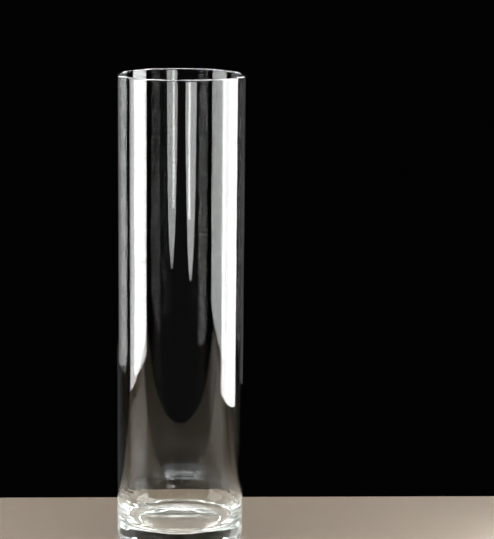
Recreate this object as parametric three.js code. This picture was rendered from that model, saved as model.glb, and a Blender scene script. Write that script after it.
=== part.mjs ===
// Glass cylinder vase, in millimetres, +Z up, resting on z = 0 with its axis on the Z axis.
// One blown piece of glass, modelled as its zones: each zone is a closed ring or disc
// that meets the next one face to face on a level plane.
import * as THREE from "three";

// Overall size.
const OUTER_RADIUS = 50;
const HEIGHT = 370;
const WALL = 2.5;
const INNER_RADIUS = OUTER_RADIUS - WALL;

// Fire-polished lip.
const LIP_HEIGHT = 4;
const LIP_RADIUS = WALL / 2;

// Thick base, seen from inside and from below.
const FLOOR_Z = 16.5;
const FLOOR_RADIUS = 41;
const FILLET_DEPTH = INNER_RADIUS - FLOOR_RADIUS;
const FILLET_HEIGHT = 18;
const FILLET_TOP_Z = FLOOR_Z + FILLET_HEIGHT;
const HEEL_RADIUS = 4.5;
const FOOT_HEIGHT = 1.5;
const FOOT_INNER_RADIUS = 34;
const FOOT_EDGE_RADIUS = 1;
const DOME_HEIGHT = 2;
const DOME_STEPS = 6;

// Chill rings that the cold mould leaves round the outside of the lower wall.
const RIPPLE_PITCH = 4.2;
const RIPPLE_COUNT = 11;
const RIPPLE_DEPTH = 0.2;
const RIPPLE_START_Z = 8;
const RIPPLE_END_Z = RIPPLE_START_Z + RIPPLE_COUNT * RIPPLE_PITCH;
const RIPPLE_STEPS = 4;

// Level under the inner heel at which its zone starts, one ring above the base's own.
const HEEL_ZONE_Z = RIPPLE_START_Z + RIPPLE_PITCH;

// Smoothness of the round surfaces.
const SEGMENTS = 64;
const ARC_STEPS = 8;

const CLEAR_GLASS = { color: 0xe9f1ee, roughness: 0.02, metalness: 0 };
const THICK_GLASS = { color: 0xd7e6e0, roughness: 0.03, metalness: 0 };
const GROUND_GLASS = { color: 0xdfe6e4, roughness: 0.35, metalness: 0 };

// Radius of the outside of the vase at height z, above the heel.
function outerRadius(z) {
  if (z <= RIPPLE_START_Z || z >= RIPPLE_END_Z) return OUTER_RADIUS;
  const turn = (2 * Math.PI * (z - RIPPLE_START_Z)) / RIPPLE_PITCH;
  return OUTER_RADIUS - (RIPPLE_DEPTH * (1 - Math.cos(turn))) / 2;
}

// Radius of the outside of the heel at height z, where the wall turns under to the foot.
function heelRadius(z) {
  const rise = HEEL_RADIUS - z;
  return OUTER_RADIUS - HEEL_RADIUS + Math.sqrt(HEEL_RADIUS ** 2 - rise ** 2);
}

// Heights of the ripple samples strictly between two levels.
function rippleLevels(low, high) {
  const step = RIPPLE_PITCH / RIPPLE_STEPS;
  const levels = [];
  for (let i = 0; i <= RIPPLE_COUNT * RIPPLE_STEPS; i++) {
    const z = RIPPLE_START_Z + i * step;
    if (z > low + step / 3 && z < high - step / 3) levels.push(z);
  }
  return levels;
}

// Outside line of the vase from one level up to another, ends included.
function outsideLine(low, high) {
  const levels = [low, ...rippleLevels(low, high), high];
  return levels.map((z) => [outerRadius(z), z]);
}

// Points of a round or oval arc in the profile plane, ends included. The centre and the size
// are [radius, z] pairs, and the angles are in degrees from +radius.
function arc(centre, size, fromDeg, toDeg) {
  return Array.from({ length: ARC_STEPS + 1 }, (_, i) => {
    const angle = THREE.MathUtils.degToRad(fromDeg + ((toDeg - fromDeg) * i) / ARC_STEPS);
    return [centre[0] + size[0] * Math.cos(angle), centre[1] + size[1] * Math.sin(angle)];
  });
}

// A profile turned about the Z axis; it runs up the outside and down the inside.
function turned(profile) {
  const points = profile.map(([r, z]) => new THREE.Vector2(r, z));
  return new THREE.LatheGeometry(points, SEGMENTS).rotateX(Math.PI / 2);
}

// A ring: the same, with its profile closed on itself.
function ring(profile) {
  return turned([...profile, profile[0]]);
}

// Rounded top of the wall, melted smooth after the rim was cut.
function rimLip() {
  const lipZ = HEIGHT - LIP_RADIUS;
  return ring([
    [INNER_RADIUS, HEIGHT - LIP_HEIGHT],
    [OUTER_RADIUS, HEIGHT - LIP_HEIGHT],
    ...arc([OUTER_RADIUS - LIP_RADIUS, lipZ], [LIP_RADIUS, LIP_RADIUS], 0, 180),
  ]);
}

// Straight wall between the chill rings and the lip.
function cylinderWall() {
  return ring([
    [INNER_RADIUS, RIPPLE_END_Z],
    [OUTER_RADIUS, RIPPLE_END_Z],
    [OUTER_RADIUS, HEIGHT - LIP_HEIGHT],
    [INNER_RADIUS, HEIGHT - LIP_HEIGHT],
  ]);
}

// Lower wall with the chill rings on its outside.
function rippledWall() {
  return ring([
    [INNER_RADIUS, FILLET_TOP_Z],
    ...outsideLine(FILLET_TOP_Z, RIPPLE_END_Z),
    [INNER_RADIUS, RIPPLE_END_Z],
  ]);
}

// Tall curve inside the vase, between the floor and the wall, with the glass outside and
// under it.
function innerHeel() {
  return ring([
    [FLOOR_RADIUS, HEEL_ZONE_Z],
    ...outsideLine(HEEL_ZONE_Z, FILLET_TOP_Z),
    ...arc([FLOOR_RADIUS, FILLET_TOP_Z], [FILLET_DEPTH, FILLET_HEIGHT], 0, -90),
  ]);
}

// Solid thick base: the flat floor on top, as wide as it is inside the vase, the rounded
// heel outside and the domed recess roof underneath.
function baseDisc() {
  const roof = Array.from({ length: DOME_STEPS + 1 }, (_, i) => {
    const share = i / DOME_STEPS;
    return [FOOT_INNER_RADIUS * share, FOOT_HEIGHT + DOME_HEIGHT * (1 - share ** 2)];
  });
  const heelSteps = [0, 0.12, 0.28, 0.48, 0.72];
  const heel = heelSteps.map((share) => {
    const z = FOOT_HEIGHT + (HEEL_RADIUS - FOOT_HEIGHT) * share;
    return [heelRadius(z), z];
  });
  return turned([
    ...roof,
    ...heel,
    [OUTER_RADIUS, HEEL_RADIUS],
    ...outsideLine(RIPPLE_START_Z, HEEL_ZONE_Z),
    [FLOOR_RADIUS, HEEL_ZONE_Z],
    [FLOOR_RADIUS, FLOOR_Z],
    [0, FLOOR_Z],
  ]);
}

// Flat ring under the base that stands on the table, round the shallow recess.
function footRing() {
  const outerFoot = OUTER_RADIUS - HEEL_RADIUS;
  const midZ = FOOT_HEIGHT / 2;
  const edge = FOOT_EDGE_RADIUS;
  return ring([
    [FOOT_INNER_RADIUS, FOOT_HEIGHT],
    ...arc([FOOT_INNER_RADIUS + edge, edge], [edge, edge], 180, 270),
    [outerFoot, 0],
    [heelRadius(midZ / 3), midZ / 3],
    [heelRadius(midZ), midZ],
    [heelRadius(FOOT_HEIGHT), FOOT_HEIGHT],
  ]);
}

const ZONES = [
  ["rim_lip", rimLip, CLEAR_GLASS],
  ["cylinder_wall", cylinderWall, CLEAR_GLASS],
  ["rippled_wall", rippledWall, CLEAR_GLASS],
  ["inner_heel", innerHeel, THICK_GLASS],
  ["base_disc", baseDisc, THICK_GLASS],
  ["foot_ring", footRing, GROUND_GLASS],
];

const vase = new THREE.Group();
for (const [name, build, finish] of ZONES) {
  const mesh = new THREE.Mesh(build(), new THREE.MeshStandardMaterial(finish));
  mesh.name = name;
  vase.add(mesh);
}

export default vase;
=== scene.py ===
"""A tall clear glass cylinder vase on a plain pale floor, lit by softboxes in a dark studio.

The vessel is one blowing of glass, so it is one closed mesh turned round the vase's axis. It takes
its outer sizes from the frame. Everything is in metres, +Z up, with the foot at z = 0.
"""

import logging
import math
import random
from dataclasses import dataclass
from enum import Enum
from functools import cached_property

import bmesh
import bpy
from mathutils import Matrix, Vector


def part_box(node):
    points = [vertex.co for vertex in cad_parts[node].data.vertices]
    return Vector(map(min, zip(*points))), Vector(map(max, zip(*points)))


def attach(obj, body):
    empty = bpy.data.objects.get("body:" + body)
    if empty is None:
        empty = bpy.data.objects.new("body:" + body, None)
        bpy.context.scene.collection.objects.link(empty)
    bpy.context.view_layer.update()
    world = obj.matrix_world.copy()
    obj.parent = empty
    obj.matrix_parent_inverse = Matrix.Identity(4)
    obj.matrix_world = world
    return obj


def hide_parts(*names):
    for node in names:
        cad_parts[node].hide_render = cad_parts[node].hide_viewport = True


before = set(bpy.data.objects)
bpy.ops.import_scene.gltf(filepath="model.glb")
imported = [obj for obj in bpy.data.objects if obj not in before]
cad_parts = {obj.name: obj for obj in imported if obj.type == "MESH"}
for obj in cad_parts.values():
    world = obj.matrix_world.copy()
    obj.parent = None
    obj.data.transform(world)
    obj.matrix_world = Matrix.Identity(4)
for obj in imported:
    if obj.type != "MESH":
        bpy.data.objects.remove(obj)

LOG = logging.getLogger("vase")
MM = 0.001


class Zone(Enum):
    """Named stretches of the vessel's outline, in the order in which the outline runs."""

    RECESS = "recess under the base"
    FOOT = "foot ring"
    HEEL = "outer heel"
    CHILL = "chill rings"
    OUTSIDE = "outside wall"
    LIP = "fire-polished lip"
    INSIDE = "inside wall"
    FILLET = "inner heel"
    FLOOR = "inside floor"


@dataclass(frozen=True)
class Station:
    """One point of the vessel's outline: its radius, its height and the zone it belongs to."""

    radius: float
    height: float
    zone: Zone


@dataclass(frozen=True)
class BlownWaves:
    """Slow unevenness that blowing leaves on glass, as a sum of smooth waves of equal depth."""

    depth: float
    fewest_round: int
    most_round: int
    shortest_up: float
    count: int
    seed: int

    @cached_property
    def waves(self) -> list[tuple[int, float, float]]:
        """Draws the waves from the seed.

        Returns:
            For each wave its turns round the vase, radians per metre of height and phase.
        """
        rng = random.Random(self.seed)
        steepest = math.tau / self.shortest_up
        return [
            (
                rng.randint(self.fewest_round, self.most_round),
                rng.uniform(-steepest, steepest),
                rng.uniform(0.0, math.tau),
            )
            for _ in range(self.count)
        ]

    def offset(self, angle: float, height: float) -> float:
        """Adds the waves up at one place.

        Args:
            angle: Angle round the axis, in radians.
            height: Height above the table, in metres.

        Returns:
            The sum, mostly within the depth either way and in the depth's unit.
        """
        total = sum(
            math.cos(turns * angle + up * height + phase) for turns, up, phase in self.waves
        )
        return self.depth * total / math.sqrt(self.count)


def arc(
    centre: tuple[float, float],
    size: tuple[float, float],
    angles: tuple[float, float],
    steps: int,
    zone: Zone,
) -> list[Station]:
    """Places stations along a round or oval arc of the outline, both ends included.

    Args:
        centre: Radius and height of the arc's centre.
        size: The arc's own radius in the level and in the upright direction.
        angles: Angles of its first and last point, in degrees from outwards.
        steps: Number of steps from one end to the other.
        zone: Zone of every station made.

    Returns:
        The stations in order.
    """
    start, end = angles
    turns = (math.radians(start + (end - start) * i / steps) for i in range(steps + 1))
    return [
        Station(centre[0] + size[0] * math.cos(a), centre[1] + size[1] * math.sin(a), zone)
        for a in turns
    ]


def line(start: Station, end: Station, steps: int) -> list[Station]:
    """Places evenly spaced stations strictly between two others, in the first one's zone.

    Args:
        start: Station before the first one made.
        end: Station after the last one made.
        steps: Number of steps between the two.

    Returns:
        The stations in order.
    """
    shares = (i / steps for i in range(1, steps))
    return [
        Station(
            start.radius + (end.radius - start.radius) * s,
            start.height + (end.height - start.height) * s,
            start.zone,
        )
        for s in shares
    ]


@dataclass(frozen=True)
class GlassFinish:
    """Clear soda-lime glass: smooth, faintly green where it is thick, duller on the foot."""

    tint: tuple[float, float, float] = (0.985, 0.995, 0.99)
    ior: float = 1.52
    depth_colour: tuple[float, float, float] = (0.62, 0.86, 0.78)
    depth_density: float = 2.2
    haze: float = 0.006
    smear_scale: float = 38.0
    foot_roughness: float = 0.03
    foot_contact: float = 0.25 * MM
    draw_line_depth: float = 0.004 * MM
    draw_line_scale: float = 150.0
    draw_line_stretch: float = 0.035

    def material(self) -> bpy.types.Material:
        """Builds the glass with its draw lines, faint haze and duller foot.

        Returns:
            The material.
        """
        made = bpy.data.materials.new("clear_glass")
        made.use_nodes = True
        nodes, links = made.node_tree.nodes, made.node_tree.links
        shader = nodes["Principled BSDF"]
        shader.inputs["Base Color"].default_value = (*self.tint, 1.0)
        shader.inputs["IOR"].default_value = self.ior
        shader.inputs["Transmission Weight"].default_value = 1.0
        links.new(self._roughness(made.node_tree), shader.inputs["Roughness"])
        links.new(self._draw_lines(made.node_tree), shader.inputs["Normal"])
        depth = nodes.new("ShaderNodeVolumeAbsorption")
        depth.inputs["Color"].default_value = (*self.depth_colour, 1.0)
        depth.inputs["Density"].default_value = self.depth_density
        links.new(depth.outputs["Volume"], nodes["Material Output"].inputs["Volume"])
        return made

    def _roughness(self, tree: bpy.types.NodeTree) -> bpy.types.NodeSocket:
        """Builds the roughness: faint smears of haze, and a little more where the foot stands.

        Args:
            tree: Node tree to build in.

        Returns:
            The socket that gives the roughness.
        """
        nodes, links = tree.nodes, tree.links
        place = nodes.new("ShaderNodeTexCoord")
        smears = nodes.new("ShaderNodeTexNoise")
        smears.inputs["Scale"].default_value = self.smear_scale
        smears.inputs["Detail"].default_value = 5.0
        links.new(place.outputs["Object"], smears.inputs["Vector"])
        polished = nodes.new("ShaderNodeMapRange")
        polished.inputs["From Min"].default_value = 0.5
        polished.inputs["From Max"].default_value = 0.8
        polished.inputs["To Max"].default_value = self.haze
        links.new(smears.outputs["Fac"], polished.inputs["Value"])
        split = nodes.new("ShaderNodeSeparateXYZ")
        links.new(place.outputs["Object"], split.inputs["Vector"])
        foot = nodes.new("ShaderNodeMapRange")
        foot.inputs["From Min"].default_value = self.foot_contact
        foot.inputs["From Max"].default_value = 0.0
        foot.inputs["To Max"].default_value = self.foot_roughness
        links.new(split.outputs["Z"], foot.inputs["Value"])
        total = nodes.new("ShaderNodeMath")
        total.operation = "ADD"
        links.new(polished.outputs["Result"], total.inputs[0])
        links.new(foot.outputs["Result"], total.inputs[1])
        return total.outputs["Value"]

    def _draw_lines(self, tree: bpy.types.NodeTree) -> bpy.types.NodeSocket:
        """Builds the faint upright lines that drawing the soft glass upwards leaves.

        Args:
            tree: Node tree to build in.

        Returns:
            The socket that gives the bumped normal.
        """
        nodes, links = tree.nodes, tree.links
        place = nodes.new("ShaderNodeTexCoord")
        stretch = nodes.new("ShaderNodeMapping")
        stretch.inputs["Scale"].default_value = (1.0, 1.0, self.draw_line_stretch)
        links.new(place.outputs["Object"], stretch.inputs["Vector"])
        lines = nodes.new("ShaderNodeTexNoise")
        lines.inputs["Scale"].default_value = self.draw_line_scale
        lines.inputs["Detail"].default_value = 3.0
        links.new(stretch.outputs["Vector"], lines.inputs["Vector"])
        bump = nodes.new("ShaderNodeBump")
        bump.inputs["Strength"].default_value = 1.0
        bump.inputs["Distance"].default_value = self.draw_line_depth
        links.new(lines.outputs["Fac"], bump.inputs["Height"])
        return bump.outputs["Normal"]


@dataclass(frozen=True)
class Vessel:
    """The whole vase: foot, heel, chill rings, straight wall, lip, inside and floor."""

    outer_radius: float
    height: float
    floor_z: float
    fillet_height: float
    foot_height: float
    rings_top: float
    wall: float = 2.5 * MM
    floor_radius: float = 41 * MM
    heel_radius: float = 4.5 * MM
    foot_inner_radius: float = 34 * MM
    foot_edge_radius: float = 1 * MM
    dome_height: float = 2 * MM
    rings_bottom: float = 8 * MM
    ring_pitch: float = 4.2 * MM
    ring_depth: float = 0.11 * MM
    ring_crowding: float = 1.3
    rings_side: float = 190.0
    ring_waves: BlownWaves = BlownWaves(0.32, 2, 7, 14 * MM, 10, 35)
    inside_waves: BlownWaves = BlownWaves(0.028 * MM, 5, 13, 90 * MM, 12, 7)
    wave_fade: float = 12 * MM
    segments: int = 240
    steps_per_ring: int = 10
    middle_share: float = 0.04

    @classmethod
    def from_frame(cls) -> "Vessel":
        """Reads the vessel's driving sizes from the CAD nodes' boxes.

        Returns:
            The vessel.
        """
        floor_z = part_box("base_disc")[1].z
        return cls(
            outer_radius=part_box("cylinder_wall")[1].x,
            height=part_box("rim_lip")[1].z,
            floor_z=floor_z,
            fillet_height=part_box("inner_heel")[1].z - floor_z,
            foot_height=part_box("base_disc")[0].z,
            rings_top=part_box("cylinder_wall")[0].z,
        )

    @property
    def inner_radius(self) -> float:
        """Radius of the inside wall."""
        return self.outer_radius - self.wall

    def outline(self) -> list[Station]:
        """Outline from the middle of the recess, out, up, over the lip and down to the floor."""
        return self._underside() + self._outer_wall() + self._lip() + self._inside()

    def _underside(self) -> list[Station]:
        """Draws the domed recess, the foot ring and the rounded heel.

        Returns:
            The stations from near the axis out to the foot of the wall.
        """
        middle = self.middle_share
        shares = (middle + (1 - middle) * i / 24 for i in range(25))
        roof = [
            Station(
                self.foot_inner_radius * share,
                self.foot_height + self.dome_height * (1 - share**2),
                Zone.RECESS,
            )
            for share in shares
        ]
        edge, heel = self.foot_edge_radius, self.heel_radius
        foot_round = arc(
            (self.foot_inner_radius + edge, edge), (edge, edge), (180, 270), 6, Zone.FOOT
        )
        heel_round = arc(
            (self.outer_radius - heel, heel), (heel, heel), (-90, 0), 14, Zone.HEEL
        )
        return [*roof, *foot_round, *line(foot_round[-1], heel_round[0], 5), *heel_round]

    def _outer_wall(self) -> list[Station]:
        """Draws the chill rings and the plain wall above them.

        Returns:
            The stations from the lowest ring up to the lip.
        """
        ring_count = round((self.rings_top - self.rings_bottom) / self.ring_pitch)
        steps = ring_count * self.steps_per_ring
        rise = (self.rings_top - self.rings_bottom) / steps
        rings = [
            Station(self.outer_radius, self.rings_bottom + i * rise, Zone.CHILL)
            for i in range(steps + 1)
        ]
        plain = Station(self.outer_radius, self.rings_top, Zone.OUTSIDE)
        lip_foot = Station(self.outer_radius, self.height - self.wall, Zone.OUTSIDE)
        return [*rings, *line(plain, lip_foot, 56), lip_foot]

    def _lip(self) -> list[Station]:
        """Draws the rounded lip.

        Returns:
            The stations from the outside over the top to the inside.
        """
        radius = self.wall / 2
        centre = (self.outer_radius - radius, self.height - radius)
        return arc(centre, (radius, radius), (0, 180), 18, Zone.LIP)

    def _inside(self) -> list[Station]:
        """Draws the inside wall, the inner heel and the floor.

        Returns:
            The stations from the lip down and in to near the axis.
        """
        top = Station(self.inner_radius, self.height - self.wall, Zone.INSIDE)
        centre = (self.floor_radius, self.floor_z + self.fillet_height)
        size = (self.inner_radius - self.floor_radius, self.fillet_height)
        fillet = arc(centre, size, (0, -90), 32, Zone.FILLET)
        edge = Station(self.floor_radius, self.floor_z, Zone.FLOOR)
        middle = Station(self.floor_radius * self.middle_share, self.floor_z, Zone.FLOOR)
        return [top, *line(top, fillet[0], 70), *fillet, *line(edge, middle, 24), middle]

    def _place(self, station: Station, angle: float) -> Vector:
        """Puts one station at one angle, with the unevenness of its zone.

        Args:
            station: Station of the outline.
            angle: Angle round the axis, in radians.

        Returns:
            The place in metres.
        """
        radius, height = station.radius, station.height
        if station.zone is Zone.CHILL:
            radius -= self._ring_hollow(angle, height)
        elif station.zone is Zone.INSIDE:
            radius += self._wave_share(height) * self.inside_waves.offset(angle, height)
        return Vector((radius * math.cos(angle), radius * math.sin(angle), height))

    def _wave_share(self, height: float) -> float:
        """Fades the inside waves out towards the lip and the inner heel.

        Args:
            height: Height above the table, in metres.

        Returns:
            The share of the waves that is left, from 0 to 1.
        """
        below_lip = (self.height - self.wall - height) / self.wave_fade
        above_heel = (height - self.floor_z - self.fillet_height) / self.wave_fade
        return max(0.0, min(1.0, below_lip, above_heel))

    def _ring_hollow(self, angle: float, height: float) -> float:
        """Finds how far the chill rings draw the surface in at one place.

        The rings crowd together upwards, wander unevenly and are strong on two sides only.

        Args:
            angle: Angle round the axis, in radians.
            height: Height above the table, in metres.

        Returns:
            How far the surface lies inside the outer radius, in metres.
        """
        span = self.rings_top - self.rings_bottom
        share = max(0.0, min(1.0, (height - self.rings_bottom) / span))
        uneven = self.ring_waves.offset(angle, height)
        phase = math.tau * share**self.ring_crowding * span / self.ring_pitch
        ring = (1 - math.cos(phase + 0.9 * uneven)) / 2
        side = math.cos(angle - math.radians(self.rings_side)) ** 2
        strength = max(0.0, 0.08 + 0.92 * side**2 + 0.3 * uneven * side)
        return self.ring_depth * math.sin(math.pi * share) ** 0.5 * strength * ring

    def mesh(self) -> bpy.types.Mesh:
        """Turns the outline round the axis into one closed mesh.

        Returns:
            The mesh, smooth, with faces that look out of the glass.
        """
        stations = self.outline()
        shape = bmesh.new()
        rows = [
            [
                shape.verts.new(self._place(station, math.tau * i / self.segments))
                for i in range(self.segments)
            ]
            for station in stations
        ]
        recess = shape.verts.new((0.0, 0.0, stations[0].height))
        floor = shape.verts.new((0.0, 0.0, stations[-1].height))
        for i in range(self.segments):
            j = (i + 1) % self.segments
            for low, high in zip(rows, rows[1:]):
                shape.faces.new((low[i], low[j], high[j], high[i]))
            shape.faces.new((rows[0][j], rows[0][i], recess))
            shape.faces.new((rows[-1][i], rows[-1][j], floor))
        bmesh.ops.remove_doubles(shape, verts=shape.verts, dist=1e-7)
        bmesh.ops.recalc_face_normals(shape, faces=shape.faces)
        made = bpy.data.meshes.new("vessel")
        shape.to_mesh(made)
        shape.free()
        made.shade_smooth()
        return made

    def build(self, finish: GlassFinish) -> bpy.types.Object:
        """Makes the vessel, which stands for every CAD zone.

        Args:
            finish: The glass it is made of.

        Returns:
            The piece.
        """
        vessel = bpy.data.objects.new("vessel", self.mesh())
        bpy.context.collection.objects.link(vessel)
        vessel.data.materials.append(finish.material())
        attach(vessel, "root")
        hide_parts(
            "rim_lip",
            "cylinder_wall",
            "rippled_wall",
            "inner_heel",
            "base_disc",
            "foot_ring",
        )
        return vessel


@dataclass(frozen=True)
class FloorFinish:
    """Plain pale satin paint with a faint unevenness from the roller."""

    light: tuple[float, float, float] = (0.640, 0.500, 0.360)
    shade: tuple[float, float, float] = (0.605, 0.470, 0.335)
    roughness: float = 0.4
    gloss: float = 0.4
    mottle_scale: float = 60.0

    def material(self) -> bpy.types.Material:
        """Builds the paint.

        Returns:
            The material.
        """
        made = bpy.data.materials.new("pale_paint")
        made.use_nodes = True
        nodes, links = made.node_tree.nodes, made.node_tree.links
        shader = nodes["Principled BSDF"]
        shader.inputs["Roughness"].default_value = self.roughness
        shader.inputs["Specular IOR Level"].default_value = self.gloss
        place = nodes.new("ShaderNodeTexCoord")
        mottle = nodes.new("ShaderNodeTexNoise")
        mottle.inputs["Scale"].default_value = self.mottle_scale
        links.new(place.outputs["Object"], mottle.inputs["Vector"])
        paint = nodes.new("ShaderNodeMix")
        paint.data_type = "RGBA"
        paint.inputs["A"].default_value = (*self.shade, 1.0)
        paint.inputs["B"].default_value = (*self.light, 1.0)
        links.new(mottle.outputs["Fac"], paint.inputs["Factor"])
        links.new(paint.outputs["Result"], shader.inputs["Base Color"])
        return made


@dataclass(frozen=True)
class Floor:
    """The plain floor that the vase stands on, which ends close behind it."""

    left: float = -0.62
    right: float = 0.70
    front: float = -0.235
    back: float = 0.1
    thickness: float = 0.02
    edge: float = 0.0015
    turn: float = 0.35
    drop: float = 0.05 * MM

    def build(self, finish: FloorFinish) -> bpy.types.Object:
        """Makes the floor as part of the stage.

        Args:
            finish: The paint on it.

        Returns:
            The floor.
        """
        shape = bmesh.new()
        bmesh.ops.create_cube(shape, size=1.0)
        size = Vector((self.right - self.left, self.back - self.front, self.thickness))
        middle = Vector((self.left + self.right, self.back + self.front, -self.thickness)) / 2
        middle.z -= self.drop
        pose = Matrix.LocRotScale(middle, None, size)
        bmesh.ops.transform(shape, matrix=pose, verts=shape.verts)
        bmesh.ops.bevel(
            shape, geom=shape.edges[:], offset=self.edge, segments=3, profile=0.5, affect="EDGES"
        )
        made = bpy.data.meshes.new("floor")
        shape.to_mesh(made)
        shape.free()
        floor = bpy.data.objects.new("floor", made)
        floor.rotation_euler.z = math.radians(self.turn)
        bpy.context.collection.objects.link(floor)
        made.materials.append(finish.material())
        return floor


class LightShape(Enum):
    """Outlines that a soft light's front can have."""

    RECTANGLE = "RECTANGLE"
    OVAL = "ELLIPSE"


@dataclass(frozen=True)
class Lamp:
    """What one soft light gives, wherever it hangs.

    The camera doesn't see the light itself, and clear glass doesn't stop it.
    """

    name: str
    size: tuple[float, float]
    radiance: float
    shape: LightShape
    lights_floor: bool

    def hang(self, pose: Matrix) -> bpy.types.Object:
        """Makes the light.

        Args:
            pose: Place and turn of the light, which shines along its own -Z.

        Returns:
            The light.
        """
        lamp = bpy.data.lights.new(self.name, "AREA")
        lamp.shape = self.shape.value
        lamp.size, lamp.size_y = self.size
        filled = math.pi / 4 if self.shape is LightShape.OVAL else 1.0
        lamp.energy = self.radiance * math.pi * self.size[0] * self.size[1] * filled
        lamp.use_shadow = False
        if not self.lights_floor:
            self._hide_behind_glass(lamp)
        light = bpy.data.objects.new(self.name, lamp)
        light.matrix_world = pose
        light.visible_camera = False
        light.visible_diffuse = self.lights_floor
        bpy.context.collection.objects.link(light)
        return light

    @staticmethod
    def _hide_behind_glass(lamp: bpy.types.Light) -> None:
        """Hides a light where it is seen straight through glass, but not where it is reflected.

        Args:
            lamp: The light, which shows in nothing but gloss and glass.
        """
        lamp.use_nodes = True
        nodes, links = lamp.node_tree.nodes, lamp.node_tree.links
        path = nodes.new("ShaderNodeLightPath")
        reflected = nodes.new("ShaderNodeMath")
        reflected.operation = "GREATER_THAN"
        reflected.inputs[1].default_value = 0.5
        links.new(path.outputs["Glossy Depth"], reflected.inputs[0])
        no_glass = nodes.new("ShaderNodeMath")
        no_glass.operation = "LESS_THAN"
        no_glass.inputs[1].default_value = 0.5
        links.new(path.outputs["Transmission Depth"], no_glass.inputs[0])
        seen = nodes.new("ShaderNodeMath")
        seen.operation = "MAXIMUM"
        links.new(reflected.outputs["Value"], seen.inputs[0])
        links.new(no_glass.outputs["Value"], seen.inputs[1])
        links.new(seen.outputs["Value"], nodes["Emission"].inputs["Strength"])


@dataclass(frozen=True)
class Bearing:
    """A place round the vase: degrees from straight in front, towards +X, and distance."""

    azimuth: float
    distance: float

    def point(self, height: float) -> Vector:
        """Gives the place at a height above the table.

        Args:
            height: Height in metres.

        Returns:
            The place in metres.
        """
        turn = math.radians(self.azimuth)
        return Vector((self.distance * math.sin(turn), -self.distance * math.cos(turn), height))


@dataclass(frozen=True)
class Softbox:
    """An upright soft light, given by its two upright edges as seen from above.

    Radiance is the brightness of its front, where 1 is the brightest that a picture holds.
    """

    name: str
    start: Bearing
    end: Bearing
    bottom: float
    top: float
    radiance: float
    shape: LightShape = LightShape.RECTANGLE

    def build(self) -> bpy.types.Object:
        """Makes the light, facing the side where the vase stands.

        Returns:
            The light.
        """
        low, high = self.start.point(self.bottom), self.end.point(self.top)
        level = Vector((high.x - low.x, high.y - low.y, 0.0))
        middle = (low + high) / 2
        up = Vector((0.0, 0.0, 1.0))
        back = level.normalized().cross(up)
        if back.dot(Vector((middle.x, middle.y, 0.0))) < 0:
            back.negate()
        turn = Matrix((up.cross(back), up, back)).transposed().to_4x4()
        size = (level.length, self.top - self.bottom)
        lamp = Lamp(self.name, size, self.radiance, self.shape, lights_floor=False)
        return lamp.hang(Matrix.Translation(middle) @ turn)


@dataclass(frozen=True)
class AimedSoftbox:
    """A soft light that hangs above or behind the vase and is turned to a point."""

    name: str
    place: tuple[float, float, float]
    aim: tuple[float, float, float]
    size: tuple[float, float]
    radiance: float
    lights_floor: bool = False

    def build(self) -> bpy.types.Object:
        """Makes the light.

        Returns:
            The light, which shines from its place to its aim.
        """
        back = (Vector(self.place) - Vector(self.aim)).normalized()
        level = Vector((0.0, 1.0, 0.0)).cross(back).normalized()
        turn = Matrix((level, back.cross(level), back)).transposed().to_4x4()
        lamp = Lamp(
            self.name, self.size, self.radiance, LightShape.RECTANGLE, self.lights_floor
        )
        return lamp.hang(Matrix.Translation(self.place) @ turn)


RIM = (0.0, 0.0, 0.37)


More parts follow.
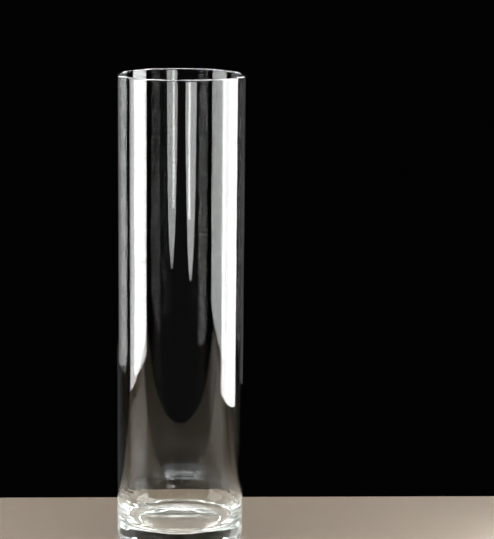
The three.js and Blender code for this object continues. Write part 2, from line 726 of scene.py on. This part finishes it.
@dataclass(frozen=True)
class Studio:
    """The dark room round the vase: its lights, its black background and how it is exposed."""

    lights: tuple[Softbox | AimedSoftbox, ...] = (
        Softbox("left_softbox", Bearing(-63.5, 0.75), Bearing(-98.5, 0.475), 0.010, 0.52, 4.4),
        Softbox("right_softbox", Bearing(75.0, 0.355), Bearing(109.5, 0.285), 0.044, 0.52, 8.5),
        Softbox(
            "front_softbox",
            Bearing(7.5, 4.0),
            Bearing(27.0, 4.0),
            -0.574,
            0.574,
            4.2,
            LightShape.OVAL,
        ),
        Softbox("front_core", Bearing(12.5, 3.9), Bearing(16.5, 3.9), -0.39, 0.5, 6.0),
        Softbox("left_card", Bearing(-114.0, 0.50), Bearing(-127.0, 0.48), 0.030, 0.52, 0.75),
        Softbox("left_far_card", Bearing(-127.0, 0.48), Bearing(-143.0, 0.48), 0.030, 0.52, 0.35),
        Softbox("left_low_card", Bearing(-112.0, 0.14), Bearing(-143.0, 0.14), 0.002, 0.13, 0.03),
        Softbox("right_card", Bearing(133.0, 0.44), Bearing(152.0, 0.41), 0.024, 0.52, 0.06),
        Softbox("dim_room", Bearing(-46.0, 3.0), Bearing(46.0, 3.0), -0.9, 0.6, 0.02),
        AimedSoftbox("rim_softbox", (0.0, 0.45, 1.15), RIM, (1.4, 0.5), 24.0),
        AimedSoftbox("left_rim_softbox", (-0.65, 0.9, 0.85), RIM, (0.5, 0.4), 16.0),
        AimedSoftbox("right_rim_softbox", (0.65, 0.9, 0.85), RIM, (0.5, 0.4), 16.0),
        AimedSoftbox("top_softbox", (0.0, -0.05, 1.3), (0.0, -0.05, 0.0), (1.4, 0.9), 2.4, True),
    )
    ambient: float = 0.0008

    def build(self) -> list[bpy.types.Object]:
        """Sets the world and the exposure and makes the lights.

        Returns:
            The lights.
        """
        scene = bpy.context.scene
        world = bpy.data.worlds.new("dark_room")
        world.use_nodes = True
        background = world.node_tree.nodes["Background"]
        background.inputs["Color"].default_value = (1.0, 1.0, 1.0, 1.0)
        background.inputs["Strength"].default_value = self.ambient
        scene.world = world
        scene.view_settings.view_transform = "Standard"
        scene.cycles.max_bounces = 32
        scene.cycles.transmission_bounces = 32
        scene.cycles.glossy_bounces = 24
        scene.cycles.diffuse_bounces = 4
        scene.cycles.caustics_reflective = False
        scene.cycles.caustics_refractive = False
        return [light.build() for light in self.lights]


@dataclass(frozen=True)
class StudioCamera:
    """A long lens in front of the vase, a little above its rim and looking down."""

    distance: float = 1.445
    height: float = 0.503
    pitch: float = 11.16
    yaw: float = 2.05
    roll: float = 0.58
    lens: float = 126.0
    sensor: float = 36.0

    def build(self) -> bpy.types.Object:
        """Makes the camera and makes it the scene's own.

        Returns:
            The camera.
        """
        pitch, yaw, roll = (math.radians(a) for a in (self.pitch, self.yaw, self.roll))
        forward = Vector(
            (math.sin(yaw) * math.cos(pitch), math.cos(yaw) * math.cos(pitch), -math.sin(pitch))
        )
        level = Vector((math.cos(yaw), -math.sin(yaw), 0.0))
        upright = level.cross(forward)
        right = level * math.cos(roll) + upright * math.sin(roll)
        up = upright * math.cos(roll) - level * math.sin(roll)
        data = bpy.data.cameras.new("studio_camera")
        data.lens, data.sensor_width = self.lens, self.sensor
        data.clip_start, data.clip_end = 0.05, 20.0
        camera = bpy.data.objects.new("studio_camera", data)
        place = Vector((0.0, -self.distance, self.height))
        turn = Matrix((right, up, -forward)).transposed().to_4x4()
        camera.matrix_world = Matrix.Translation(place) @ turn
        bpy.context.collection.objects.link(camera)
        bpy.context.scene.camera = camera
        return camera


def main() -> None:
    """Builds the camera, the studio, the floor and the vase, and reports each piece."""
    logging.basicConfig(level=logging.INFO, format="%(name)s: %(message)s")
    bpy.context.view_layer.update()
    LOG.info("%s placed", StudioCamera().build().name)
    for light in Studio().build():
        LOG.info("%s hung", light.name)
    LOG.info("%s laid", Floor().build(FloorFinish()).name)
    vessel = Vessel.from_frame().build(GlassFinish())
    LOG.info("%s built with %d faces", vessel.name, len(vessel.data.polygons))


if __name__ == "__main__":
    main()
